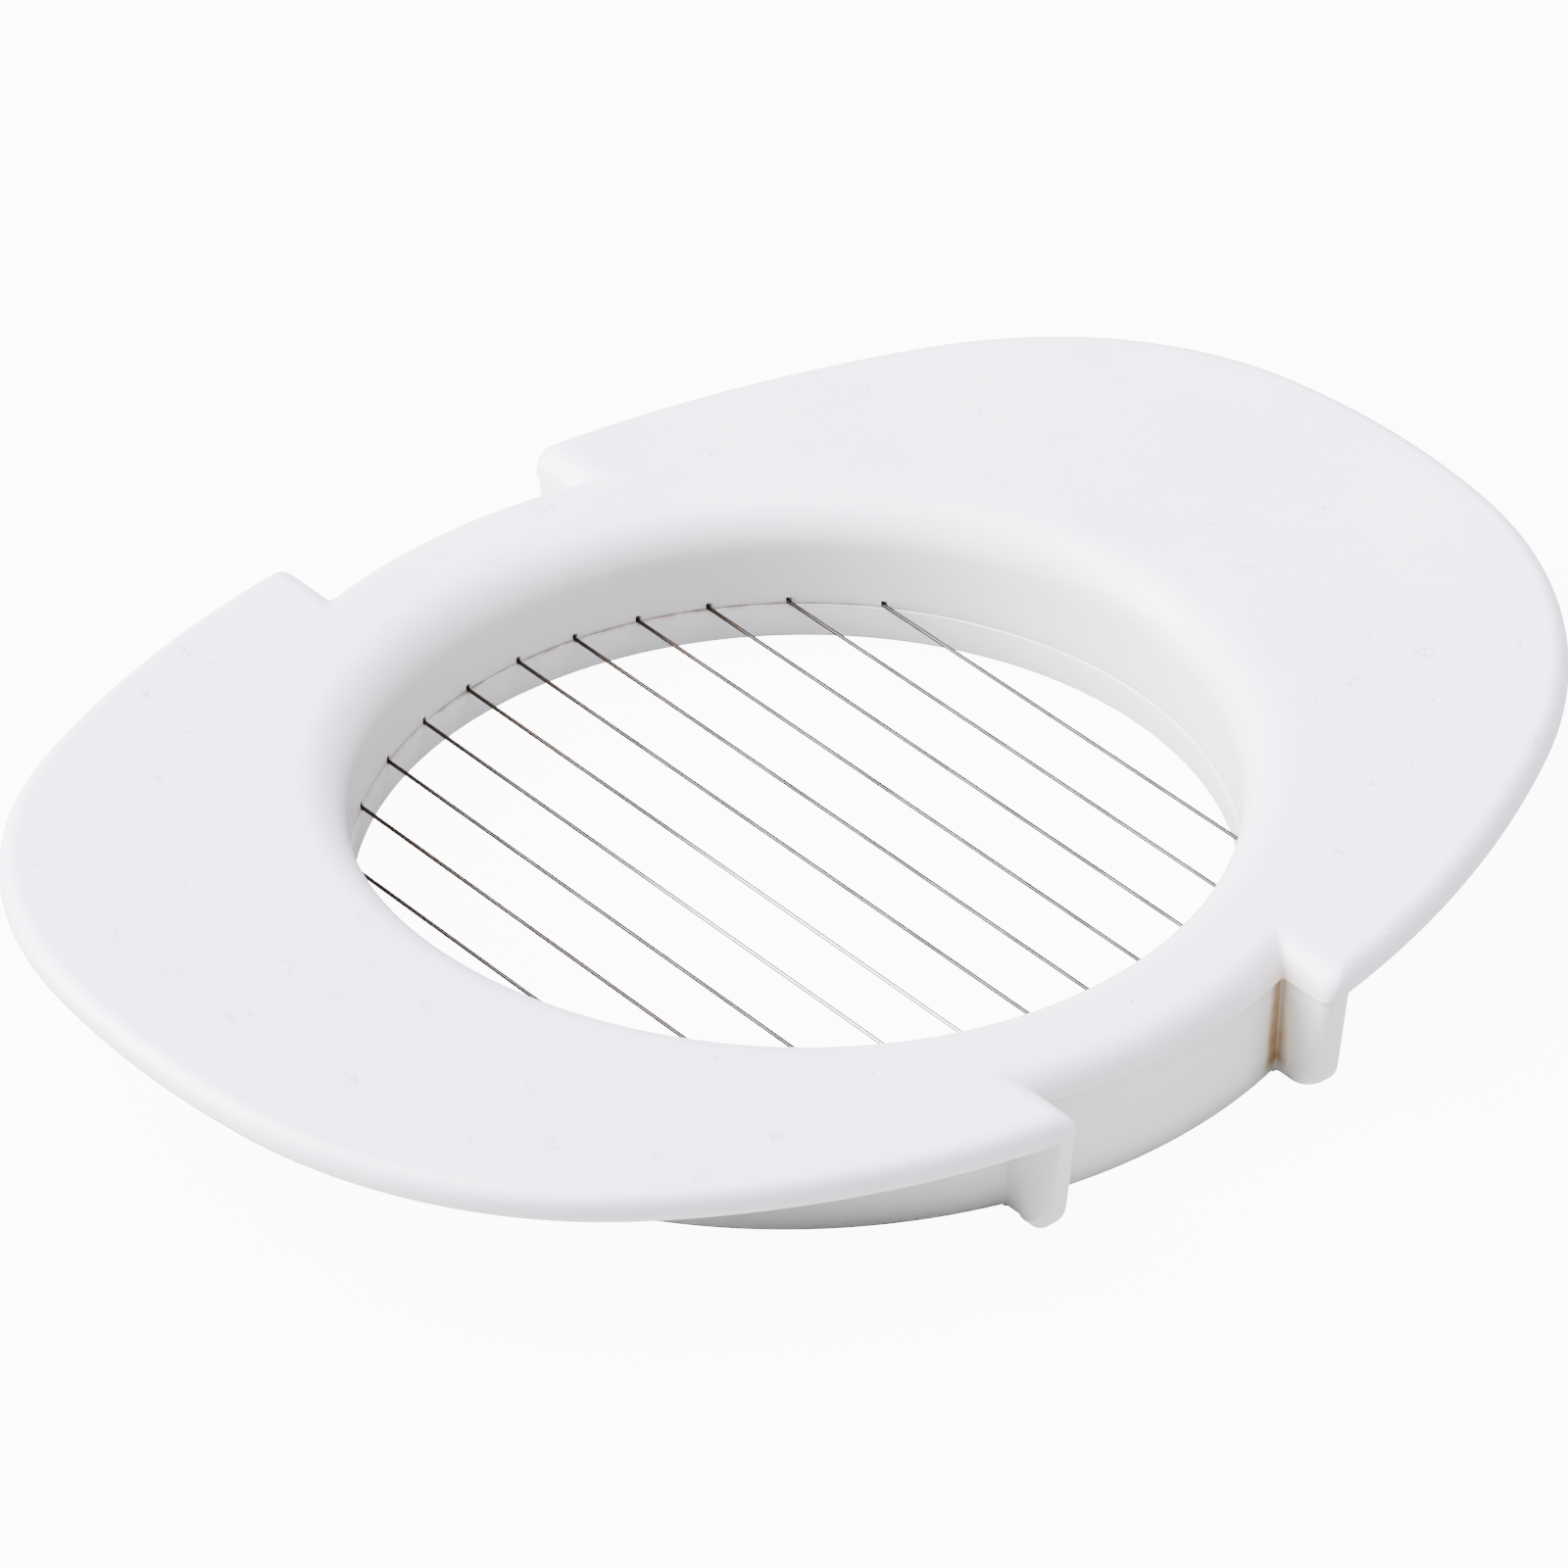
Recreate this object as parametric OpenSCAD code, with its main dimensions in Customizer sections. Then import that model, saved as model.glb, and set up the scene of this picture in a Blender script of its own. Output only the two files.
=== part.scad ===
// Hand-held egg slicer: a winged plate with a round collar, eleven steel
// wires strung across the hole and a clamp ring that traps their ends.
// Millimetres. X runs from wing tip to wing tip, Y along the wires, and Z = 0
// is the plane that the collar stands on.

/* [Wings] */
// Reach of each wing tip beyond the collar
wing_reach = 17.2; // [13:0.2:24]
// Reach of the side arcs beyond the collar on the Y axis, if no notch cut them
side_reach = 4.35; // [3.6:0.05:7]
// Radius of the side arcs in plan
side_arc_r = 82; // [70:1:100]
// Radius of the shoulder arcs in plan
shoulder_arc_r = 33.5; // [26:0.5:36]
// Radius of the wing tip arcs in plan
tip_arc_r = 67; // [60:1:75]
// Thickness of the plate
plate_t = 2.4; // [1.6:0.1:3]
// Radius of the upward bend of the wings
bend_r = 460; // [350:10:900]

/* [Collar] */
// Bore of the hole that the egg goes through
hole_d = 63.8; // [53:0.2:77]
// Width of the collar from the hole to its rim
collar_w = 9.1; // [8.6:0.1:11]
// Taper of the collar's outer face from its rim to its foot, on the radius
collar_taper = 0.7; // [0:0.1:1]
// Radius of the rounded lip round the hole
lip_r = 3.5; // [2:0.1:4]
// Height of the top face at the middle of the slicer
top_z = 10.75; // [8.9:0.05:14]
// Wall thickness of the collar's outer skirt at its foot
outer_skirt_t = 2; // [1.6:0.1:2.2]
// Wall thickness of the skirt round the hole
inner_skirt_t = 2; // [1.6:0.1:2.5]
// Radius of the rim where a notch bares the collar
rim_r = 2.4; // [1:0.1:2.6]

/* [Notches] */
// Width of each notch between its two ribs
notch_w = 22.5; // [16:0.5:28]
// Thickness of the ribs beside the notches
rib_t = 1.9; // [1.4:0.1:2.6]
// Reach of the ribs beyond the collar's rim, at their feet
rib_foot_reach = 2; // [1:0.1:3]
// Reach of the ribs beyond the collar's rim, under the plate
rib_head_reach = 3; // [2:0.1:3.3]
// Radius of the ribs' lower outer corners
rib_corner_r = 2.2; // [0.5:0.1:3]
// Radius of the plate's top edge beside a notch
wing_end_r = 2.4; // [0.5:0.1:3]

/* [Wires] */
// Number of wires
wire_n = 11; // [5:1:12]
// Distance between neighbouring wires
wire_pitch = 5; // [4.5:0.1:5.2]
// Wire diameter
wire_d = 0.3; // [0.25:0.05:0.5]
// Height of the wires above the collar's foot
wire_z = 3.05; // [2.6:0.05:4]
// Length of the leg bent up at each end of a wire
wire_leg = 1.8; // [1:0.1:2.5]
// Radius of that bend on the wire's centre line
wire_bend_r = 0.4; // [0.3:0.05:0.8]

/* [Clamp ring] */
// Thickness of the ring's floor
ring_floor_t = 1.8; // [1.2:0.1:2.4]
// Thickness of the wall that pinches the wire legs
pinch_t = 1.6; // [1.2:0.1:1.8]
// Space between the top of that wall and the plate
pinch_headroom = 1.95; // [0.5:0.05:3]
// Chamfer on the ring's bottom edges
ring_chamfer = 0.3; // [0.1:0.1:0.5]
// How far the ring stands into the hole past the skirt above it
ring_ledge = 0.1; // [0:0.05:0.3]
// Radial clearance between the ring and the outer skirt
ring_gap = 0.05; // [0.03:0.01:0.1]
// Clearance round a wire where it is trapped
wire_gap = 0.04; // [0.02:0.01:0.08]

/* [Hidden] */

$fn = 120;
eps = 0.01;
bend_fn = 480;
plan_step = 3;
white = [0.93, 0.93, 0.95];
steel = [0.62, 0.61, 0.59];

hole_r = hole_d / 2;
collar_top_r = hole_r + collar_w;
collar_foot_r = collar_top_r - collar_taper;
tip_x = collar_top_r + wing_reach;
side_y = collar_top_r + side_reach;
ring_seat_r = collar_foot_r - outer_skirt_t;
inner_skirt_r = hole_r + inner_skirt_t;
underside_z = top_z - plate_t;
rim_z = top_z - rim_r;
sky = top_z + tip_x * tip_x / bend_r;
beyond = 4 * tip_x;

// the wires' seat and the clearances round it
land_z = wire_z - wire_d / 2 - eps;
skirt_foot_z = wire_z - wire_d / 2 + wire_gap;
slot_w = wire_d + 2 * wire_gap;
slot_top_z = wire_z + wire_bend_r + wire_gap;
leg_r = inner_skirt_r + wire_gap + wire_d / 2;
pinch_r = leg_r + wire_d / 2 + wire_gap;
pinch_top_z = underside_z - pinch_headroom;

function wire_name(k) = str("wire_", k < 10 ? "0" : "", k);
function wire_x(k) = (k - (wire_n + 1) / 2) * wire_pitch;
// half length of a wire, rounded so that its straight and its bends meet
function wire_half(k) = round(100 * sqrt(pow(leg_r, 2) - pow(wire_x(k), 2))) / 100;

// Plan of the wings: tip, shoulder and side arcs, each tangent to the next.
// The shoulder's centre is where circles about the other two centres meet.
tip_c = [tip_x - tip_arc_r, 0];
side_c = [0, side_y - side_arc_r];
to_side = side_arc_r - shoulder_arc_r;
to_tip = tip_arc_r - shoulder_arc_r;
apart = norm(tip_c - side_c);
along = (pow(to_side, 2) - pow(to_tip, 2) + pow(apart, 2)) / (2 * apart);
across = sqrt(pow(to_side, 2) - pow(along, 2));
unit = (tip_c - side_c) / apart;
shoulder_c = side_c + along * unit + across * [unit[1], -unit[0]];
tip_end = atan2(shoulder_c[1] - tip_c[1], shoulder_c[0] - tip_c[0]);
side_start = atan2(shoulder_c[1] - side_c[1], shoulder_c[0] - side_c[0]);

function arc(centre, r, from, to) =
    let (n = max(2, ceil((to - from) / plan_step)))
    [for (i = [0:n - 1]) let (a = from + (to - from) * i / n)
        centre + r * [cos(a), sin(a)]];

function quarter() = concat(
    arc(tip_c, tip_arc_r, 0, tip_end),
    arc(shoulder_c, shoulder_arc_r, tip_end, side_start),
    arc(side_c, side_arc_r, side_start, 90),
    [[0, side_y]]);

function turned(points, sx, sy) =
    let (n = len(points))
    [for (i = [1:n - 1]) let (p = sx * sy > 0 ? points[i] : points[n - 1 - i])
        [sx * p[0], sy * p[1]]];

module wing_plan() {
    polygon(concat(turned(quarter(), 1, 1), turned(quarter(), -1, 1),
        turned(quarter(), -1, -1), turned(quarter(), 1, -1)));
}

// Everything above the bent face that lies d under the top face
module above(d) {
    translate([0, 0, top_z + bend_r])
        rotate([90, 0, 0])
            cylinder(r = bend_r + d, h = beyond, center = true, $fn = bend_fn);
}

// Both wings, with the notches cut between them
module wings() {
    intersection() {
        linear_extrude(sky)
            difference() {
                wing_plan();
                square([notch_w, beyond], center = true);
            }
        above(plate_t);
    }
}

// Cone of the collar's outer face up to the plate, then its straight rim
module collar() {
    cylinder(r1 = collar_foot_r, r2 = collar_top_r, h = underside_z);
    translate([0, 0, underside_z]) cylinder(r = collar_top_r, h = sky - underside_z);
}

module channel() {
    difference() {
        translate([0, 0, -1]) cylinder(r = ring_seat_r, h = sky);
        above(plate_t);
        translate([0, 0, skirt_foot_z]) cylinder(r = inner_skirt_r, h = sky);
    }
}

// One rib, in the quarter where X and Y are positive
module rib() {
    foot_y = collar_top_r + rib_foot_reach;
    head_y = collar_top_r + rib_head_reach;
    corner = [foot_y - rib_corner_r, rib_corner_r];
    root_y = sqrt(pow(ring_seat_r, 2) - pow(notch_w / 2 + rib_t, 2));
    head_z = underside_z + plate_t / 2;
    translate([notch_w / 2, 0, 0])
        rotate([90, 0, 90])
            linear_extrude(rib_t)
                polygon(concat(
                    [[root_y, head_z], [root_y, 0]],
                    arc(corner, rib_corner_r, -90, 0),
                    [[foot_y, rib_corner_r], [head_y, head_z]]));
}

module four_ways() {
    for (sx = [0, 1], sy = [0, 1])
        mirror([sx, 0, 0]) mirror([0, sy, 0]) children();
}

// Hole through the collar, with its rounded lip
module hole() {
    lip_z = top_z - lip_r;
    translate([0, 0, -1]) cylinder(r = hole_r, h = sky + 2);
    rotate_extrude()
        difference() {
            translate([0, lip_z]) square([hole_r + lip_r, lip_r + sky]);
            translate([hole_r + lip_r, lip_z]) circle(r = lip_r);
        }
}

// Rounding of the collar's rim where it shows in a notch
module rim_round() {
    intersection() {
        rotate_extrude()
            difference() {
                translate([collar_top_r - rim_r, rim_z]) square([rim_r + 1, rim_r + 1]);
                translate([collar_top_r - rim_r, rim_z]) circle(r = rim_r);
            }
        cube([notch_w, beyond, beyond], center = true);
    }
}

// Rounding of the plate's top edge beside a notch
module wing_end_round() {
    edge_z = top_z + pow(notch_w / 2 + wing_end_r, 2) / (2 * bend_r);
    translate([notch_w / 2, side_y, edge_z - wing_end_r])
        rotate([90, 0, 0])
            linear_extrude(side_reach + rim_r / 2)
                difference() {
                    translate([-1, 0]) square([wing_end_r + 1, wing_end_r + 1]);
                    translate([wing_end_r, 0]) circle(r = wing_end_r);
                }
}

// Slots that place the wires in the foot of the skirt round the hole
module wire_slots() {
    for (k = [1:wire_n])
        translate([wire_x(k) - slot_w / 2, -wire_half(k) - wire_d, skirt_foot_z - 1])
            cube([slot_w, 2 * (wire_half(k) + wire_d), slot_top_z - skirt_foot_z + 1]);
}

module body() {
    color(white)
        difference() {
            union() {
                wings();
                collar();
                four_ways() rib();
            }
            above(0);
            channel();
            hole();
            rim_round();
            four_ways() wing_end_round();
            wire_slots();
        }
}

// Ring pressed into the collar's channel from below
module clamp_ring() {
    outer = ring_seat_r - ring_gap;
    bore_r = hole_r - ring_ledge;
    color(white)
        rotate_extrude()
            polygon([
                [bore_r + ring_chamfer, 0], [outer - ring_chamfer, 0],
                [outer, ring_chamfer], [outer, ring_floor_t],
                [pinch_r + pinch_t, ring_floor_t], [pinch_r + pinch_t, pinch_top_z],
                [pinch_r, pinch_top_z], [pinch_r, land_z],
                [bore_r, land_z], [bore_r, ring_chamfer]
            ]);
}

// One wire along Y, with a leg bent up at each end
module wire(k) {
    straight = wire_half(k) - wire_bend_r;
    color(steel)
        translate([wire_x(k), 0, wire_z]) {
            rotate([90, 0, 0]) cylinder(d = wire_d, h = 2 * straight, center = true, $fn = 24);
            for (end = [0, 1])
                mirror([0, end, 0]) {
                    translate([0, straight, wire_bend_r])
                        rotate([90, 90, 90])
                            rotate_extrude(angle = 90, $fn = 48)
                                translate([wire_bend_r, 0]) circle(d = wire_d, $fn = 24);
                    translate([0, wire_half(k), wire_bend_r])
                        cylinder(d = wire_d, h = wire_leg - wire_bend_r, $fn = 24);
                }
        }
}

body();
clamp_ring();
for (k = [1:wire_n])
    wire(k);
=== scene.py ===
"""Looks of a hand-held egg slicer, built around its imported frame.

A white moulded body with two upswept wings and a round collar holds eleven
steel wires, and a white clamp ring closes the collar from below. The wires are
the frame's own. The body and the ring are modelled here, with the fillets,
parting line and draft of a moulding, in millimetres, and then put into metres.
"""

import logging
import math
from dataclasses import dataclass, field, replace
from enum import Enum

import bmesh
import bpy
from mathutils import Matrix, Vector


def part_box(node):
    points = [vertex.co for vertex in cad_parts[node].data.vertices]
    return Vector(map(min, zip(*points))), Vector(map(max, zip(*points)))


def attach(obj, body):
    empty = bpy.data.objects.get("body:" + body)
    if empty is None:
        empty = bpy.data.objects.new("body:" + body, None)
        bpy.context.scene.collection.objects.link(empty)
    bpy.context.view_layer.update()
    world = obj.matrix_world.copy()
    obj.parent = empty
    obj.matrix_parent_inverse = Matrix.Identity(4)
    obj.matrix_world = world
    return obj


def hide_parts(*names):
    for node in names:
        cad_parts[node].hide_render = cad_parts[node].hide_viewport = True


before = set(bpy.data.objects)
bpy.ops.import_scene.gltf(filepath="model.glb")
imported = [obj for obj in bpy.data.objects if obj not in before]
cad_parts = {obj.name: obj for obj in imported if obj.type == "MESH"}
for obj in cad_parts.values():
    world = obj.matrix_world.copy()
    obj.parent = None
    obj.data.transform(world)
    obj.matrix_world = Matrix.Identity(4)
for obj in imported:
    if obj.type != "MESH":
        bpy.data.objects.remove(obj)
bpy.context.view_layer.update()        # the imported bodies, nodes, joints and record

LOG = logging.getLogger("egg_slicer")
MM = 0.001
WELD = 0.0005            # millimetres between points that are merged
SHARP_DEGREES = 32       # edges that turn by more than this stay sharp
Point = tuple[float, float]
Place = tuple[float, float, float]
Row = list[Place]
Colour = tuple[float, float, float, float]
MIDDLE: Point = (0, 0)


class Body(Enum):
    """Rigid bodies of the frame that pieces ride on."""

    ROOT = "root"


class Slot(Enum):
    """Material slots of the record."""

    PLASTIC = "white_plastic"


def lerp(start: float, end: float, t: float) -> float:
    """Value a fraction t of the way from start to end."""
    return start + (end - start) * t


def mix(start: Point, end: Point, t: float) -> Point:
    """Plan point a fraction t of the way from start to end."""
    return lerp(start[0], end[0], t), lerp(start[1], end[1], t)


def polar(centre: Point, radius: float, degrees: float) -> Point:
    """Plan point at a radius and an angle about a centre."""
    turn = math.radians(degrees)
    return centre[0] + radius * math.cos(turn), centre[1] + radius * math.sin(turn)


def angle_of(point: Point) -> float:
    """Angle of a plan point about the origin, in degrees."""
    return math.degrees(math.atan2(point[1], point[0]))


def steps(count: int) -> list[float]:
    """Fractions above 0 and up to 1, in count equal steps."""
    return [(i + 1) / count for i in range(count)]


def quarter_turn(count: int) -> list[Point]:
    """Sine and cosine of each of count equal steps of a quarter turn."""
    angles = [math.radians(90 * t) for t in steps(count)]
    return [(math.sin(a), math.cos(a)) for a in angles]


# ---- modelling


def start_fresh() -> None:
    """Leave edit mode and deselect everything, so that an operator acts on the new piece alone."""
    if bpy.context.object and bpy.context.object.mode != "OBJECT":
        bpy.ops.object.mode_set(mode="OBJECT")
    bpy.ops.object.select_all(action="DESELECT")


def finish_piece(piece: bpy.types.Object) -> None:
    """Put a piece modelled in millimetres into metres and shade it.

    Args:
        piece: the object, which stays at the origin with its place in its mesh.
    """
    start_fresh()
    piece.select_set(True)
    bpy.context.view_layer.objects.active = piece
    piece.scale = (MM, MM, MM)
    bpy.ops.object.transform_apply(location=True, rotation=True, scale=True)
    bpy.ops.object.shade_smooth_by_angle(angle=math.radians(SHARP_DEGREES))
    piece.select_set(False)


def apply_boolean(piece: bpy.types.Object, tool: bpy.types.Object, operation: str) -> None:
    """Join a tool to a piece, or cut it out of the piece, and remove the tool.

    Args:
        piece: the object that keeps the result.
        tool: the closed object to join or cut.
        operation: UNION or DIFFERENCE.
    """
    start_fresh()
    piece.select_set(True)
    bpy.context.view_layer.objects.active = piece
    modifier = piece.modifiers.new(operation.lower(), "BOOLEAN")
    modifier.operation = operation
    modifier.solver = "EXACT"
    modifier.object = tool
    bpy.ops.object.modifier_apply(modifier=modifier.name)
    bpy.data.objects.remove(tool, do_unlink=True)


def start_loop(name: str, row: Row) -> bpy.types.Object:
    """Shape a ring primitive to a row of points, and stay in edit mode.

    Args:
        name: name of the new object.
        row: its points, in order round the loop.

    Returns:
        The object.
    """
    start_fresh()
    bpy.ops.mesh.primitive_circle_add(vertices=len(row), radius=1.0, fill_type="NOTHING")
    piece = bpy.context.object
    piece.name = name
    bpy.ops.object.mode_set(mode="EDIT")
    bpy.ops.mesh.select_all(action="SELECT")
    mesh = bmesh.from_edit_mesh(piece.data)
    for vert, place in zip(mesh.verts, row):
        vert.co = place
    bmesh.update_edit_mesh(piece.data)
    return piece


def weld() -> None:
    """Merge the doubles of the piece in edit mode, and turn its faces outwards."""
    bpy.ops.mesh.select_all(action="SELECT")
    bpy.ops.mesh.remove_doubles(threshold=WELD)
    bpy.ops.mesh.normals_make_consistent(inside=False)


class Skin:
    """A surface grown from one closed loop, extruded row by row in edit mode."""

    def __init__(self, name: str, row: Row) -> None:
        """Start with the first row.

        Args:
            name: name of the new object.
            row: its points, in order round the loop.
        """
        self.piece = start_loop(name, row)
        self.first = row
        self.index = {tuple(Vector(place)): number for number, place in enumerate(row)}

    def grow(self, row: Row) -> None:
        """Extrude the open loop to the next row.

        Args:
            row: as many points as the loop has, in the same order.
        """
        bpy.ops.mesh.extrude_edges_move()
        mesh = bmesh.from_edit_mesh(self.piece.data)
        index = {}
        for vert in mesh.verts:
            if vert.select:
                number = self.index[tuple(vert.co)]
                vert.co = row[number]
                index[tuple(vert.co)] = number
        self.index = index
        bmesh.update_edit_mesh(self.piece.data)

    def cap(self) -> None:
        """Close the open loop with one face."""
        bpy.ops.mesh.edge_face_add()

    def cap_first(self) -> None:
        """Close the loop that the skin started from with one face."""
        bpy.ops.mesh.select_all(action="DESELECT")
        mesh = bmesh.from_edit_mesh(self.piece.data)
        for edge in mesh.edges:
            edge.select = edge.is_boundary
        bmesh.update_edit_mesh(self.piece.data)
        bpy.ops.mesh.edge_face_add()

    def join_ends(self) -> None:
        """Extrude the last row onto the first, so that the skin closes on itself."""
        self.grow(self.first)

    def close(self) -> bpy.types.Object:
        """Weld the seams, split the faces into triangles and leave edit mode.

        Returns:
            The finished object.
        """
        weld()
        bpy.ops.mesh.quads_convert_to_tris(quad_method="SHORTEST_DIAGONAL", ngon_method="BEAUTY")
        bpy.ops.object.mode_set(mode="OBJECT")
        return self.piece


def spin_ring(name: str, profile: list[Point], turns: int) -> bpy.types.Object:
    """Spin a closed profile of radius and height about the Z axis.

    Args:
        name: name of the new object.
        profile: corners as (radius, height).
        turns: number of steps in the full turn.

    Returns:
        The closed ring.
    """
    ring = start_loop(name, [(radius, 0.0, height) for radius, height in profile])
    bpy.ops.mesh.spin(steps=turns, angle=2 * math.pi, center=(0, 0, 0), axis=(0, 0, 1))
    weld()
    bpy.ops.object.mode_set(mode="OBJECT")
    return ring


def rounded(corner: Point, radius: float, start: float, end: float, count: int) -> list[Point]:
    """Arc about a rounded corner's centre, between two angles in degrees, in count steps."""
    return [polar(corner, radius, lerp(start, end, i / count)) for i in range(count + 1)]


# ---- the body


@dataclass
class Station:
    """One place round the edge of the plate, and what the plate's section is like there.

    Attributes:
        bore_angle: angle of the matching point on the hole, in degrees.
        skirt_angle: angle of the matching point on the skirts.
        outer: plan point on the outer wall.
        inner: plan point where the top fillet starts.
        drop: height of the top fillet.
        tuck: radius of the rounding under the edge.
        bead: how far the moulding flash at the parting line stands proud.
    """

    bore_angle: float
    skirt_angle: float
    outer: Point
    inner: Point
    drop: float
    tuck: float
    bead: float

    def mirrored(self, flip_x: bool, flip_y: bool) -> "Station":
        """The same place in another quarter of the plate.

        Args:
            flip_x: mirror it across the YZ plane.
            flip_y: mirror it across the XZ plane.

        Returns:
            The mirrored station.
        """
        def flip(point: Point) -> Point:
            """Mirrored plan point."""
            return (-point[0] if flip_x else point[0]), (-point[1] if flip_y else point[1])

        def turned(degrees: float) -> float:
            """Mirrored angle."""
            return angle_of(flip(polar(MIDDLE, 1.0, degrees)))

        return replace(self, bore_angle=turned(self.bore_angle), skirt_angle=turned(self.skirt_angle),
                       outer=flip(self.outer), inner=flip(self.inner))


@dataclass
class MouldedBody:
    """The white body: plate with wings, hole with its lip, skirts and ribs. Millimetres.

    Attributes:
        wing_reach: how far a wing tip reaches past the rim.
        side_reach: how far the long sides bulge past the rim.
        roll_r: radius of the rolled edge at the notches and the wings' ends.
        parting_step: how far the collar stands back from the rim.
        flash: how far the moulding flash stands proud.
        wall_share: share of the edge wall that is above its widest line.
        sink: how far a rib's fillets sink into the collar.
        bore_angles: angles on the hole that match a wing's end and the notch.
        embed: how far a rib reaches up into the plate.
        columns: stations on each stretch of a quarter of the edge.
        rows: rows of faces on each stretch of the section.
    """

    hole_r: float = 31.9
    lip_r: float = 3.5
    rim_r: float = 41.0
    top_z: float = 10.75
    plate_t: float = 2.4
    bend_r: float = 460.0
    wing_reach: float = 17.2
    side_reach: float = 4.35
    side_arc_r: float = 82.0
    shoulder_arc_r: float = 33.5
    tip_arc_r: float = 67.0
    notch_w: float = 22.5
    edge_r: float = 1.4
    under_edge_r: float = 0.8
    roll_r: float = 2.2
    parting_r: float = 0.03
    parting_step: float = 0.13
    flash: float = 0.03
    wall_share: float = 0.4
    sink: float = 0.012
    bore_angles: tuple[float, float, float, float] = (65.4, 66.3, 67.2, 68.6)
    corner_r: float = 1.15
    inner_corner_r: float = 0.35
    recess_r: float = 0.15
    inner_recess_r: float = 0.45
    skirt_r: float = 33.9
    skirt_foot_z: float = 2.94
    foot_r: float = 40.3
    channel_r: float = 38.3
    foot_round_r: float = 0.4
    rib_t: float = 1.9
    rib_end_r: float = 0.9
    rib_back_r: float = 0.22
    rib_bead: float = 1.15
    rib_bead_step: float = 0.2
    rib_head_y: float = 44.2
    rib_foot_y: float = 43.0
    rib_toe_r: float = 2.2
    rib_root_r: float = 0.25
    rib_levels: tuple[float, ...] = (6.5, 4.5, 3.2)
    rib_toe_step: float = 7.5
    embed: float = 0.4
    wire_r: float = 0.15
    slot_clear: float = 0.04
    slot_half_h: float = 0.4
    columns: dict[str, int] = field(default_factory=lambda: {
        "tip": 8, "shoulder": 24, "side": 26, "corner": 8, "end": 7, "recess": 7, "rim": 14})
    rows: dict[str, int] = field(default_factory=lambda: {
        "foot": 3, "bore": 5, "lip": 14, "top": 9, "roll": 12, "tuck": 6, "under": 8, "collar": 6,
        "channel": 4})

    @property
    def under_z(self) -> float:
        """Height of the plate's underside at the middle."""
        return self.top_z - self.plate_t

    @property
    def tip_x(self) -> float:
        """Distance of a wing tip from the middle."""
        return self.rim_r + self.wing_reach

    @property
    def side_centre(self) -> Point:
        """Centre of a side arc."""
        return 0.0, self.rim_r + self.side_reach - self.side_arc_r

    @property
    def tip_centre(self) -> Point:
        """Centre of a tip arc."""
        return self.tip_x - self.tip_arc_r, 0.0

    @property
    def end_x(self) -> float:
        """Distance of a wing's end face from the YZ plane."""
        return self.notch_w / 2

    def shoulder_centre(self) -> Point:
        """Centre of the shoulder arc, where circles about the other two centres meet.

        Returns:
            The plan point.
        """
        side, tip = Vector(self.side_centre), Vector(self.tip_centre)
        to_side = self.side_arc_r - self.shoulder_arc_r
        to_tip = self.tip_arc_r - self.shoulder_arc_r
        apart = (tip - side).length
        unit = (tip - side) / apart
        along = (to_side ** 2 - to_tip ** 2 + apart ** 2) / (2 * apart)
        across = math.sqrt(to_side ** 2 - along ** 2)
        centre = side + along * unit + across * Vector((unit.y, -unit.x))
        return centre.x, centre.y

    def lift(self, x: float) -> float:
        """How much the upward bend raises the plate at x."""
        return x * x / (2 * self.bend_r)

    def collar_r(self, z: float) -> float:
        """Radius of the collar's drafted outer wall at a height."""
        top = self.rim_r - self.parting_step
        return lerp(self.foot_r, top, z / self.under_z)

    def quarter(self) -> list[Station]:
        """Stations from the wing tip on the X axis round to the middle of the notch.

        Returns:
            The stations, in order.
        """
        cols, edge, roll = self.columns, self.edge_r, self.roll_r
        tip_c, side_c, shoulder_c = self.tip_centre, self.side_centre, self.shoulder_centre()
        tip_end = math.degrees(math.atan2(shoulder_c[1], shoulder_c[0] - tip_c[0]))
        side_start = math.degrees(math.atan2(shoulder_c[1] - side_c[1], shoulder_c[0]))
        tip_bore = angle_of(polar(tip_c, self.tip_arc_r, tip_end))
        side_bore = angle_of(polar(side_c, self.side_arc_r, side_start))
        recess_c = self.recess_centre(self.end_x, self.rim_r, self.recess_r)
        inner_recess_c = self.recess_centre(self.end_x + roll, self.rim_r - roll, self.inner_recess_r)
        rim_start, inner_start = angle_of(recess_c), angle_of(inner_recess_c)
        corner_bore, end_bore, recess_bore, rim_bore = self.bore_angles

        outer_c, outer_from = self.corner_centre(self.end_x, self.side_arc_r, self.corner_r)
        inner_c, inner_from = self.corner_centre(
            self.end_x + roll, self.side_arc_r - edge, self.inner_corner_r)

        def flat(bore: float, outer: Point, inner: Point) -> Station:
            """Station on the wing's plain edge."""
            return Station(bore, bore, outer, inner, edge, self.under_edge_r, 0.0)

        def rolled(bore: float, skirt: float, outer: Point, inner: Point) -> Station:
            """Station on the rolled edge."""
            return Station(bore, skirt, outer, inner, roll, self.parting_r, self.flash)

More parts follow.
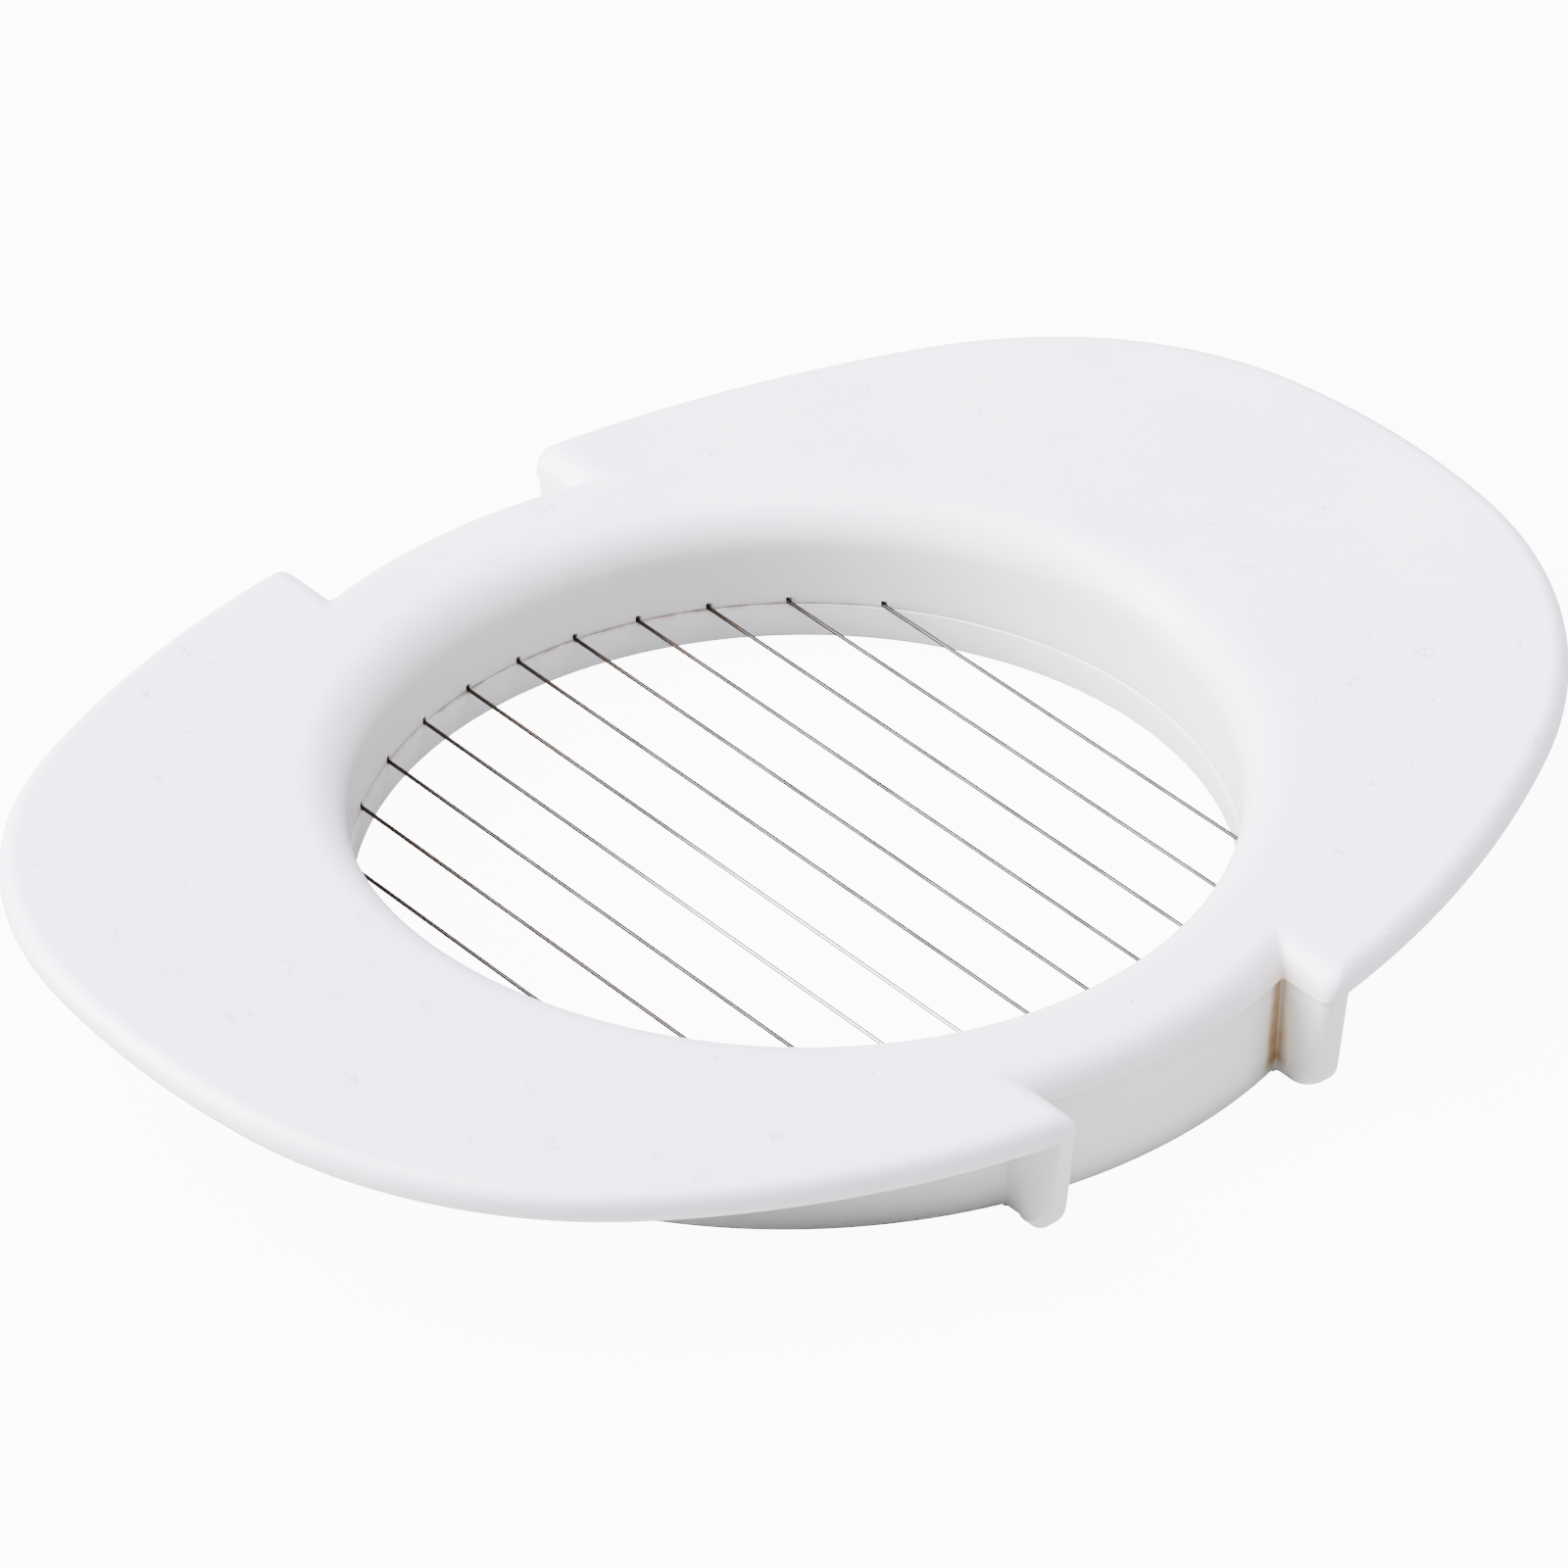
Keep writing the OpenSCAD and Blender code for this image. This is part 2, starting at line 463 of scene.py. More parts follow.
        out = [flat(0.0, (self.tip_x, 0.0), (self.tip_x - edge, 0.0))]
        for t in steps(cols["tip"]):
            a = tip_end * t
            out.append(flat(tip_bore * t, polar(tip_c, self.tip_arc_r, a),
                            polar(tip_c, self.tip_arc_r - edge, a)))
        for t in steps(cols["shoulder"]):
            a = lerp(tip_end, side_start, t)
            out.append(flat(lerp(tip_bore, side_bore, t), polar(shoulder_c, self.shoulder_arc_r, a),
                            polar(shoulder_c, self.shoulder_arc_r - edge, a)))
        for t in steps(cols["side"]):
            out.append(flat(lerp(side_bore, corner_bore, t),
                            polar(side_c, self.side_arc_r, lerp(side_start, outer_from, t)),
                            polar(side_c, self.side_arc_r - edge, lerp(side_start, inner_from, t))))
        for t in steps(cols["corner"]):
            ease = t * t * (3 - 2 * t)
            bore = lerp(corner_bore, end_bore, t)
            out.append(Station(bore, bore, polar(outer_c, self.corner_r, lerp(outer_from, 180, t)),
                               polar(inner_c, self.inner_corner_r, lerp(inner_from, 180, t)),
                               lerp(edge, roll, ease), lerp(self.under_edge_r, self.parting_r, ease),
                               self.flash * ease))
        for t in steps(cols["end"]):
            bore = lerp(end_bore, recess_bore, t)
            out.append(rolled(bore, bore, (self.end_x, lerp(outer_c[1], recess_c[1], t)),
                              (self.end_x + roll, lerp(inner_c[1], inner_recess_c[1], t))))
        for t in steps(cols["recess"]):
            out.append(rolled(lerp(recess_bore, rim_bore, t), lerp(recess_bore, rim_start, t),
                              polar(recess_c, self.recess_r, (rim_start - 180) * t),
                              polar(inner_recess_c, self.inner_recess_r, (inner_start - 180) * t)))
        for t in steps(cols["rim"]):
            a = lerp(rim_start, 90, t)
            out.append(rolled(lerp(rim_bore, 90, t), a, polar(MIDDLE, self.rim_r, a),
                              polar(MIDDLE, self.rim_r - roll, lerp(inner_start, 90, t))))
        return out

    def corner_centre(self, wall_x: float, arc_r: float, radius: float) -> tuple[Point, float]:
        """Centre of a rounding between a wall at x and an arc about the side centre.

        Args:
            wall_x: where the wing's end wall is.
            arc_r: radius of the arc.
            radius: radius of the rounding.

        Returns:
            The centre, and the angle at which the rounding leaves the arc, in degrees.
        """
        across = wall_x + radius
        along = math.sqrt((arc_r - radius) ** 2 - across ** 2)
        return (across, self.side_centre[1] + along), math.degrees(math.atan2(along, across))

    def recess_centre(self, wall_x: float, wall_r: float, radius: float) -> Point:
        """Centre of the hollow rounding between a wing's end wall at x and a round wall."""
        across = wall_x - radius
        return across, math.sqrt((wall_r + radius) ** 2 - across ** 2)

    def stations(self) -> list[Station]:
        """Stations all round the plate, anticlockwise from the wing tip at +X.

        Returns:
            The stations, in order.
        """
        quarter = self.quarter()
        last = len(quarter) - 1
        out = list(quarter)
        out += [quarter[i].mirrored(True, False) for i in range(last - 1, -1, -1)]
        out += [quarter[i].mirrored(True, True) for i in range(1, last + 1)]
        out += [quarter[i].mirrored(False, True) for i in range(last - 1, 0, -1)]
        return out

    def plate(self) -> bpy.types.Object:
        """Model the plate with its hole, lip, rolled edges and two skirts as one closed skin.

        Returns:
            The plate, in millimetres.
        """
        around, rows = self.stations(), self.rows

        def place(points: list[Point], heights: list[float], bend: float = 1.0) -> Row:
            """Row through plan points at heights, with a share of the upward bend."""
            return [(x, y, z + bend * self.lift(x)) for (x, y), z in zip(points, heights)]

        def ring(radius: float, z: float, bend: float) -> Row:
            """Round row whose points match the hole's."""
            return place([polar(MIDDLE, radius, s.bore_angle) for s in around], [z] * len(around), bend)

        def skirt_ring(radius: float, z: float, bend: float) -> Row:
            """Round row whose points match the skirts'."""
            return place([polar(MIDDLE, radius, s.skirt_angle) for s in around], [z] * len(around), bend)

        foot, small = self.skirt_foot_z, self.parting_r
        lip_z, lip_end = self.top_z - self.lip_r, self.hole_r + self.lip_r
        skin = Skin("slicer_body", ring(self.hole_r + small, foot, 0.0))
        for sine, cosine in quarter_turn(rows["foot"]):
            skin.grow(ring(self.hole_r + small * (1 - sine), foot + small * (1 - cosine), 0.0))
        for t in steps(rows["bore"]):
            skin.grow(ring(self.hole_r, lerp(foot + small, lip_z, t), t))
        for sine, cosine in quarter_turn(rows["lip"]):
            skin.grow(ring(self.hole_r + self.lip_r * (1 - cosine), lip_z + self.lip_r * sine, 1.0))
        for t in steps(rows["top"]):
            points = [mix(polar(MIDDLE, lip_end, s.bore_angle), s.inner, t) for s in around]
            skin.grow(place(points, [self.top_z] * len(around)))
        for sine, cosine in quarter_turn(rows["roll"]):
            points = [mix(s.inner, s.outer, sine) for s in around]
            skin.grow(place(points, [self.top_z - s.drop * (1 - cosine) for s in around]))
        proud = [mix(s.inner, s.outer, 1 + s.bead / s.drop) for s in around]
        tucked = [mix(s.outer, s.inner, s.tuck / s.drop) for s in around]
        skin.grow(place(proud, [lerp(self.top_z - s.drop, self.under_z + s.tuck, self.wall_share)
                                for s in around]))
        skin.grow(place(proud, [self.under_z + s.tuck for s in around]))
        for sine, cosine in quarter_turn(rows["tuck"]):
            points = [mix(outside, inside, 1 - cosine) for outside, inside in zip(proud, tucked)]
            skin.grow(place(points, [self.under_z + s.tuck * (1 - sine) for s in around]))
        wall_r = self.collar_r(self.under_z)
        for t in steps(rows["under"]):
            points = [mix(inside, polar(MIDDLE, wall_r, s.skirt_angle), t)
                      for s, inside in zip(around, tucked)]
            skin.grow(place(points, [self.under_z] * len(around)))
        for radius, z in self.skirt_section():
            skin.grow(skirt_ring(radius, z, z / self.under_z))
        for t in steps(rows["channel"]):
            skin.grow(skirt_ring(lerp(self.channel_r, self.skirt_r, t), self.under_z, 1.0))
        for t in steps(rows["channel"]):
            skin.grow(skirt_ring(self.skirt_r, lerp(self.under_z, foot, t), 1 - t))
        skin.join_ends()
        return skin.close()

    def skirt_section(self) -> list[Point]:
        """Section of the collar's outer skirt, down its outside and up its inside.

        Returns:
            Its points as (radius, height).
        """
        soft, inner_soft = self.foot_round_r, self.foot_round_r / 2
        heights = [lerp(self.under_z, soft, t) for t in steps(self.rows["collar"])]
        out = [(self.collar_r(z), z) for z in heights]
        outside = out[-1][0]
        out += rounded((outside - soft, soft), soft, 0, -90, 6)[1:]
        out += rounded((self.channel_r + inner_soft, inner_soft), inner_soft, 270, 180, 3)
        out += [(self.channel_r, lerp(inner_soft, self.under_z, t)) for t in steps(self.rows["channel"])]
        return out

    def bend_up(self, piece: bpy.types.Object, head: float) -> None:
        """Stretch a rib of height head up to follow the plate's bend, from nothing at its foot."""
        for vert in piece.data.vertices:
            vert.co.z += self.lift(vert.co.x) * vert.co.z / head

    def rib_outline(self, z: float) -> list[Point]:
        """Plan of a rib at a height, in the quarter where x and y are positive.

        Args:
            z: height above the foot.

        Returns:
            The outline, from the notch side round the rib's end to the wing side.
        """
        toe, soft = self.rib_toe_r, self.foot_round_r / 2
        end_y = lerp(self.rib_foot_y, self.rib_head_y, z / self.under_z)
        if z < toe:
            end_y -= toe - math.sqrt(toe ** 2 - (toe - z) ** 2)
        shrink = soft - math.sqrt(soft ** 2 - (soft - z) ** 2) if z < soft else 0.0
        wall_r = self.collar_r(z) - self.sink
        face_x = self.end_x + self.parting_step + shrink
        back_x = self.end_x + self.rib_t - shrink
        recess, root = self.recess_r + shrink, self.rib_root_r + shrink
        notch_c = (face_x - recess, math.sqrt((wall_r + recess) ** 2 - (face_x - recess) ** 2))
        points = rounded(notch_c, recess, angle_of(notch_c) - 180, 0, 7)
        points += rounded((face_x + self.rib_end_r, end_y - self.rib_end_r), self.rib_end_r, 180, 90, 8)
        points += rounded((back_x - self.rib_back_r, end_y - self.rib_back_r), self.rib_back_r, 90, 0, 6)
        points += [(back_x, end_y - self.rib_bead)]
        back_x -= self.rib_bead_step
        points += [(back_x, end_y - self.rib_bead - self.rib_bead_step)]
        wing_c = (back_x + root, math.sqrt((wall_r + root) ** 2 - (back_x + root) ** 2))
        points += rounded(wing_c, root, 180, 180 + angle_of(wing_c), 7)
        inside = (self.channel_r + wall_r) / 2
        return points + [polar(MIDDLE, inside, angle_of(points[end])) for end in (-1, 0)]

    def rib(self, flip_x: bool, flip_y: bool) -> bpy.types.Object:
        """Model one drafted rib with its rounded toe.

        Args:
            flip_x: put it at negative x.
            flip_y: put it at negative y.

        Returns:
            The rib, in millimetres, reaching up into the plate.
        """
        head = self.under_z + self.embed
        toe_turns = [90 - self.rib_toe_step * i for i in range(round(90 / self.rib_toe_step))]
        toe = [self.rib_toe_r * (1 - math.cos(math.radians(turn))) for turn in toe_turns]
        levels = [head, self.under_z, *self.rib_levels, *toe, 0.0]

        def row(z: float) -> Row:
            """Outline of the rib at a height, in its own quarter."""
            return [((-x if flip_x else x), (-y if flip_y else y), z) for x, y in self.rib_outline(z)]

        skin = Skin("rib", row(levels[0]))
        for z in levels[1:]:
            skin.grow(row(z))
        skin.cap()
        skin.cap_first()
        piece = skin.close()
        self.bend_up(piece, head)
        return piece

    def slots(self, wires: Row) -> bpy.types.Object:
        """Model the cutter for the slots in the skirt's foot that place the wires.

        Args:
            wires: for each wire its x, its height and its half length.

        Returns:
            One object of separate boxes, in millimetres.
        """
        start_fresh()
        half_w = self.wire_r + self.slot_clear
        blocks = []
        for x, z, half in wires:
            bpy.ops.mesh.primitive_cube_add(size=1.0, location=(x, 0, z))
            block = bpy.context.object
            block.scale = (2 * half_w, 2 * (half + self.wire_r), 2 * (self.slot_half_h + self.slot_clear))
            blocks.append(block)
        for block in blocks:
            block.select_set(True)
        bpy.context.view_layer.objects.active = blocks[0]
        bpy.ops.object.transform_apply(location=True, rotation=True, scale=True)
        bpy.ops.object.join()
        return bpy.context.object

    def build(self, wires: Row) -> bpy.types.Object:
        """Model the whole body.

        Args:
            wires: for each wire its x, its height and its half length.

        Returns:
            The body, in metres.
        """
        body = self.plate()
        for flip_x in (False, True):
            for flip_y in (False, True):
                apply_boolean(body, self.rib(flip_x, flip_y), "UNION")
        apply_boolean(body, self.slots(wires), "DIFFERENCE")
        finish_piece(body)
        return body


@dataclass
class ClampRing:
    """The white ring that closes the collar from below. Millimetres."""

    bore_r: float = 31.8
    land_z: float = 2.89
    pinch_in_r: float = 34.28
    pinch_out_r: float = 35.88
    pinch_top_z: float = 6.4
    floor_t: float = 1.8
    outer_r: float = 38.25
    soft_r: float = 0.14
    foot_soft_r: float = 0.35
    turns: int = 264

    def build(self) -> bpy.types.Object:
        """Model the ring by spinning its section.

        Returns:
            The ring, in metres.
        """
        soft, foot = self.soft_r, self.foot_soft_r
        profile = rounded((self.bore_r + foot, foot), foot, 180, 270, 6)
        profile += rounded((self.outer_r - soft, soft), soft, 270, 360, 4)
        profile += [(self.outer_r, self.floor_t), (self.pinch_out_r, self.floor_t)]
        profile += rounded((self.pinch_out_r - soft, self.pinch_top_z - soft), soft, 0, 90, 4)
        profile += rounded((self.pinch_in_r + soft, self.pinch_top_z - soft), soft, 90, 180, 4)
        profile += [(self.pinch_in_r, self.land_z)]
        profile += rounded((self.bore_r + soft, self.land_z - soft), soft, 90, 180, 5)
        ring = spin_ring("slicer_clamp_ring", profile, self.turns)
        finish_piece(ring)
        return ring


# ---- finishes


class Signal:
    """A number that varies over a surface; arithmetic on it adds Math nodes."""

    def __init__(self, recipe: "Recipe", socket: bpy.types.NodeSocket) -> None:
        """Wrap an output socket of the recipe's tree."""
        self.recipe = recipe
        self.socket = socket

    def __add__(self, other: "Signal | float") -> "Signal":
        """Sum."""
        return self.recipe.math("ADD", self, other)

    def __sub__(self, other: "Signal | float") -> "Signal":
        """Difference."""
        return self.recipe.math("SUBTRACT", self, other)

    def __rsub__(self, other: float) -> "Signal":
        """Difference, with the number first."""
        return self.recipe.math("SUBTRACT", other, self)

    def __mul__(self, other: "Signal | float") -> "Signal":
        """Product."""
        return self.recipe.math("MULTIPLY", self, other)

    __radd__ = __add__
    __rmul__ = __mul__

    def __abs__(self) -> "Signal":
        """Size without its sign."""
        return self.recipe.math("ABSOLUTE", self)

    def band(self, start: float, end: float) -> "Signal":
        """Smooth step from 0 to 1.

        Args:
            start: value of this signal that gives 0.
            end: value that gives 1, which may be the smaller of the two.

        Returns:
            The step.
        """
        flipped = start > end
        low, high = min(start, end), max(start, end)
        node = self.recipe.add("ShaderNodeMapRange", {"interpolation_type": "SMOOTHSTEP"}, {
            "Value": self, "From Min": low, "From Max": high,
            "To Min": 1.0 if flipped else 0.0, "To Max": 0.0 if flipped else 1.0})
        return Signal(self.recipe, node.outputs[0])


class Recipe:
    """The node tree of one material, read in millimetres on the piece."""

    def __init__(self, name: str) -> None:
        """Start an empty material.

        Args:
            name: the material's name.
        """
        self.material = bpy.data.materials.new(name)
        self.material.use_nodes = True
        self.tree = self.material.node_tree
        self.tree.nodes.clear()

    def add(self, kind: str, settings: dict | None = None, inputs: dict | None = None) -> bpy.types.Node:
        """Add a node.

        Args:
            kind: the node's type.
            settings: its properties.
            inputs: a value, a Signal or a socket for each input, by name or number.

        Returns:
            The node.
        """
        node = self.tree.nodes.new(kind)
        for key, value in (settings or {}).items():
            setattr(node, key, value)
        for key, value in (inputs or {}).items():
            if isinstance(value, Signal):
                self.tree.links.new(value.socket, node.inputs[key])
            elif isinstance(value, bpy.types.NodeSocket):
                self.tree.links.new(value, node.inputs[key])
            else:
                node.inputs[key].default_value = value
        return node

    def math(self, operation: str, *values: Signal | float) -> Signal:
        """Result of a Math node on numbers or signals."""
        node = self.add("ShaderNodeMath", {"operation": operation}, dict(enumerate(values)))
        return Signal(self, node.outputs[0])

    def place(self, centre: Place = (0, 0, 0), turn: Place = (0, 0, 0), stretch: Place = (1, 1, 1)
              ) -> bpy.types.NodeSocket:
        """Coordinates on the piece in millimetres, set for a pattern.

        Args:
            centre: point of the piece that becomes the pattern's origin.
            turn: rotation of the pattern about X, Y and Z, in radians.
            stretch: factor on each axis.

        Returns:
            The Mapping node's output.
        """
        coords = self.add("ShaderNodeTexCoord")
        scale = tuple(factor / MM for factor in stretch)
        location = tuple(-c * f for c, f in zip(centre, stretch))
        return self.add("ShaderNodeMapping", {"vector_type": "POINT"}, {
            "Vector": coords.outputs["Object"], "Location": location, "Rotation": turn, "Scale": scale,
        }).outputs[0]

    def axes(self) -> tuple[Signal, Signal, Signal]:
        """The three coordinates on the piece, in millimetres."""
        split = self.add("ShaderNodeSeparateXYZ", {}, {0: self.place()})
        return tuple(Signal(self, socket) for socket in split.outputs)

    def noise(self, where: bpy.types.NodeSocket, size: float, detail: float = 2.0, rough: float = 0.5
              ) -> Signal:
        """Cloudy noise about 0.5.

        Args:
            where: coordinates in millimetres.
            size: width of its largest features, in millimetres.
            detail: number of finer layers.
            rough: strength of the finer layers.

        Returns:
            The noise.
        """
        node = self.add("ShaderNodeTexNoise", {"noise_dimensions": "3D"}, {
            "Vector": where, "Scale": 1.0 / size, "Detail": detail, "Roughness": rough})
        return Signal(self, node.outputs[0])

    def blob(self, centre: Place, radius: float) -> Signal:
        """Soft ball: 1 at its centre and 0 from its radius out, both in millimetres."""
        node = self.add("ShaderNodeVectorMath", {"operation": "DISTANCE"}, {0: self.place(), 1: centre})
        return Signal(self, node.outputs["Value"]).band(radius, radius * 0.15)

    def blend(self, factor: Signal | float, under: Colour | bpy.types.NodeSocket,
              over: Colour | bpy.types.NodeSocket, kind: str = "MIX") -> bpy.types.NodeSocket:
        """Two colours, mixed.

        Args:
            factor: share of the second colour.
            under: the first, as a colour or a socket.
            over: the second.
            kind: how the Mix node mixes them.

        Returns:
            The mixed colour.
        """
        node = self.add("ShaderNodeMix", {"data_type": "RGBA", "blend_type": kind, "clamp_factor": True},
                        {0: factor, 6: under, 7: over})
        return node.outputs[2]

    def bump(self, height: Signal, strength: float, depth: float) -> bpy.types.NodeSocket:
        """Normal of a relief whose height runs from 0 to 1 over a depth in millimetres."""
        return self.add("ShaderNodeBump", {}, {
            "Height": height, "Strength": strength, "Distance": depth * MM}).outputs[0]

    def surface(self, shader: bpy.types.Node) -> bpy.types.Material:
        """Material, finished by sending its last shader node to the output."""
        self.add("ShaderNodeOutputMaterial", {}, {"Surface": shader.outputs[0]})
        return self.material


def grey(value: float) -> Colour:
    """Neutral colour."""
    return value, value, value, 1.0


@dataclass(frozen=True)
class CornerShade:
    """A painted warm shade that runs up an inside corner.

    Attributes:
        x: place of the corner's line, in millimetres.
        y: the same.
        strength: how dark it is, from 0 to 1.
    """

    x: float
    y: float
    strength: float


@dataclass(frozen=True)
class WhitePlastic:
    """Glossy white moulded plastic.

    The top skin has a painted cool tint of lit faces and the walls a painted warm
    tint of shade, with faint mottling, specks and short curled scuffs. Grime gathers
    in the seam round the hole and where the wires go in, and the corners of the
    notches have painted warm shade.

    Attributes:
        name: the material's name.
        lit_tint: painted cool tint of the top skin in light; shade_tint is the painted warm tint of the
            walls in shade.
        mottled: what the mottling multiplies them by.
        corner_shade: colour of the painted shade's core in a corner; shade_fringe is the painted colour
            round it.
        grime: colour of the seam and the wires' entries.
        dust: colour of the scuffs, the specks and the spot.
        top_z: height of the top skin at the middle, in millimetres.
        bend_r: radius of the skin's upward bend.
        seam_z: height of the seam round the hole.
        bore: radii between which the grime grows towards the hole.
        halo: distances from a wire between which its grime grows.
        core: distances from a corner's line between which the painted shade's core grows.
        rim: the same for the painted fringe round it.
        cell: width of the cells that hold a scuff or a speck each, or neither.
        corner_shades: the painted warm shades in the corners.
        spot: place of one large grey spot on the top skin.
    """

    name: str
    # painted light: a cool tint for the lit top skin and a warm tint for the walls in shade
    lit_tint: Colour = (0.828, 0.814, 0.898, 1.0)
    shade_tint: Colour = (0.815, 0.822, 0.800, 1.0)
    mottled: Colour = (0.965, 0.965, 0.972, 1.0)
    # painted warm shade in the notches' inside corners: its dark core and the tan fringe round it
    corner_shade: Colour = (0.270, 0.165, 0.070, 1.0)
    shade_fringe: Colour = (0.620, 0.520, 0.380, 1.0)
    grime: Colour = (0.260, 0.165, 0.105, 1.0)
    dust: Colour = (0.180, 0.185, 0.210, 1.0)
    roughness: float = 0.27
    top_z: float = 10.75
    bend_r: float = 460.0
    seam_z: float = 2.93
    seam_half: float = 0.32
    bore: Point = (32.5, 32.05)
    wire_pitch: float = 5.0
    wire_z: float = 3.1
    halo: Point = (0.62, 0.12)
    core: Point = (1.15, 0.3)
    rim: Point = (3.4, 0.2)
    cell: float = 6.5
    # painted warm shade, one for each notch corner
    corner_shades: tuple[CornerShade, ...] = ()
    spot: Place = (-36.4, 26.5, 12.2)
    spot_r: float = 0.62

    def corners(self, r: Recipe, colour: bpy.types.NodeSocket) -> bpy.types.NodeSocket:
        """Paint warm shade into the inside corners of the notches.

        Args:
            r: the recipe.
            colour: the colour under the painted shade.

        Returns:
            The colour with the painted shade.
        """
        x, y, z = r.axes()
        cloud = 0.7 + 0.6 * r.noise(r.place(centre=(3, 5, 0)), 1.8, 3.0, 0.6)
        foot = z.band(0.0, 1.4)
        # painted warm shade up each notch corner, under the wing's end
        for corner_shade in self.corner_shades:
            apart = r.math("SQRT", (x - corner_shade.x) * (x - corner_shade.x) + (y - corner_shade.y) * (y - corner_shade.y))
            wide = apart.band(*self.rim) * foot * z.band(11.2, 8.6) * cloud
            core = apart.band(*self.core) * foot * z.band(8.75, 8.25) * cloud
            colour = r.blend(wide * (0.75 * corner_shade.strength), colour, self.shade_fringe)
            colour = r.blend(core * corner_shade.strength, colour, self.corner_shade)
        return colour

    def entries(self, r: Recipe) -> Signal:
        """Grime in the seam round the hole and round each wire.

        Args:
            r: the recipe.

        Returns:
            Its strength, from 0 to 1.
        """
        x, y, z = r.axes()
        radius = r.math("SQRT", x * x + y * y)
        bore = radius.band(*self.bore)
        ends = abs(y).band(15.0, 27.0)
        cloud = r.noise(r.place(), 2.2, 3.0, 0.65).band(0.25, 0.75)
        seam = abs(z - self.seam_z).band(self.seam_half, 0.02) * (0.08 + 0.62 * ends * (0.35 + cloud))
        nearest = abs(r.math("WRAP", x, self.wire_pitch / 2, -self.wire_pitch / 2))
        low = abs(z - self.wire_z)
        halo = r.math("SQRT", nearest * nearest + low * low).band(*self.halo) * abs(y).band(21.0, 22.5)
        return bore * r.math("MAXIMUM", seam, halo * (0.15 + 0.35 * cloud))

    def marks(self, r: Recipe, top: Signal) -> Signal:
        """Short curled scuffs and specks on the top skin.

        Args:
            r: the recipe.
            top: 1 on the top skin and 0 elsewhere.

        Returns:
            Their strength, from 0 to 1.
        """
        cells = r.add("ShaderNodeTexVoronoi", {"voronoi_dimensions": "2D", "feature": "F1"}, {
            "Vector": r.place(), "Scale": 1 / self.cell, "Randomness": 1.0})
        lot = Signal(r, r.add("ShaderNodeSeparateColor", {}, {0: cells.outputs["Color"]}).outputs[0])
        away = Signal(r, cells.outputs["Distance"])
        curl = abs(r.noise(r.place(), 1.5, 1.0) - 0.5).band(0.020, 0.006)
        scuffs = curl * away.band(0.17, 0.12) * r.math("LESS_THAN", lot, 0.55)
        specks = away.band(0.020, 0.008) * r.math("GREATER_THAN", lot, 0.82)
        return top * r.math("MAXIMUM", 0.36 * scuffs, 0.8 * specks)

    def make(self) -> bpy.types.Material:
        """Build the material.

        Returns:
            The material.
        """
        r = Recipe(self.name)
        x, _, z = r.axes()
        level = z - x * x * (0.5 / self.bend_r)
        top = level.band(self.top_z - 0.4, self.top_z - 0.05)
        # painted light: the top skin gets the cool lit tint and the walls get the warm shaded tint
        colour = r.blend(level.band(self.top_z - 3.0, self.top_z - 0.3), self.shade_tint, self.lit_tint)
        mottle = r.noise(r.place(), 14.0, 3.0, 0.55)
        colour = r.blend(mottle.band(0.35, 0.70), colour, self.mottled, "MULTIPLY")
        # painted warm shade in the notch corners
        colour = self.corners(r, colour)
        colour = r.blend(self.entries(r), colour, self.grime)
        marks = self.marks(r, top)
        spot = r.blob(self.spot, self.spot_r) * 0.28
        colour = r.blend(r.math("MAXIMUM", marks, spot), colour, self.dust)
        streaks = r.noise(r.place(turn=(0, 0, 0.6), stretch=(1.0, 0.12, 1.0)), 1.4, 2.0, 0.6)
        rough = self.roughness + 0.09 * r.noise(r.place(), 5.0, 3.0, 0.6) + 0.05 * streaks + 0.2 * marks
        skin = 0.7 * r.noise(r.place(), 1.7, 2.0, 0.5) + 0.3 * r.noise(r.place(), 0.4, 1.0, 0.5)
        shader = r.add("ShaderNodeBsdfPrincipled", {}, {
            "Base Color": colour, "Roughness": rough, "IOR": 1.5,
            "Normal": r.bump(skin - 0.4 * marks, 0.22, 0.03)})
        return r.surface(shader)


